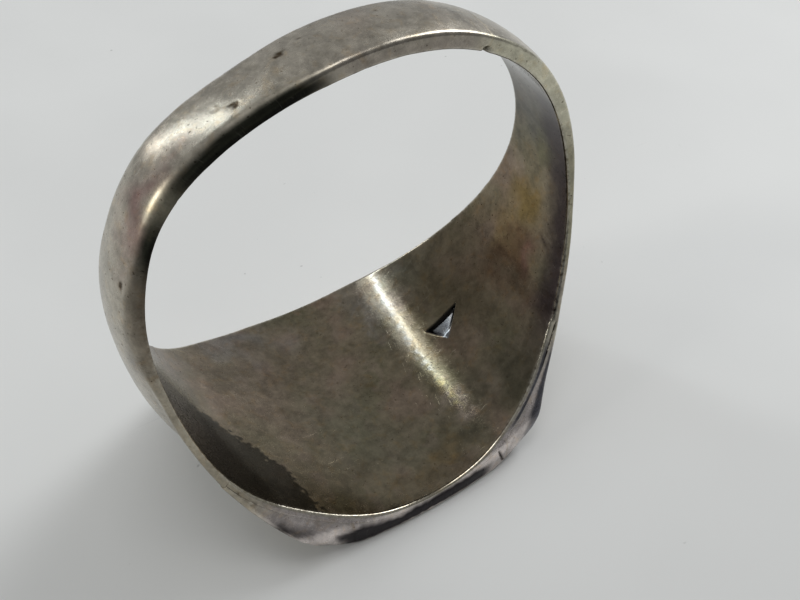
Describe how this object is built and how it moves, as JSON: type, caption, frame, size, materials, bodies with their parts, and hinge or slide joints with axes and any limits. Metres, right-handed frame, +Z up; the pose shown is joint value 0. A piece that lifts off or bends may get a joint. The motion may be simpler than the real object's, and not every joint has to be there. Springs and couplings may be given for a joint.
{
  "type": "signet ring",
  "caption": "Tapered finger ring with a flat rectangular signet face, a domed shank and a thin sheet lining inside the head.",
  "frame": {"origin": "centre of the finger hole", "axes": "+Z up from the signet face to the back of the shank, the ring standing on its signet face; Y along the finger axis; X across the finger hole"},
  "size_m": [0.0206, 0.0136, 0.0207],
  "materials": {
    "silver": "worn, lightly tarnished sterling silver",
    "silver_lining": "tarnished grey-brown silver sheet, smooth with small dents",
    "solder": "dull silver solder"
  },
  "bodies": {
    "root": {"signet_plate": "silver", "head_frame": "silver", "lining": "silver_lining", "shank_left": "silver", "shank_right": "silver", "solder_head_left": "solder", "solder_head_right": "solder", "solder_sizing": "solder"}
  },
  "joints": []
}
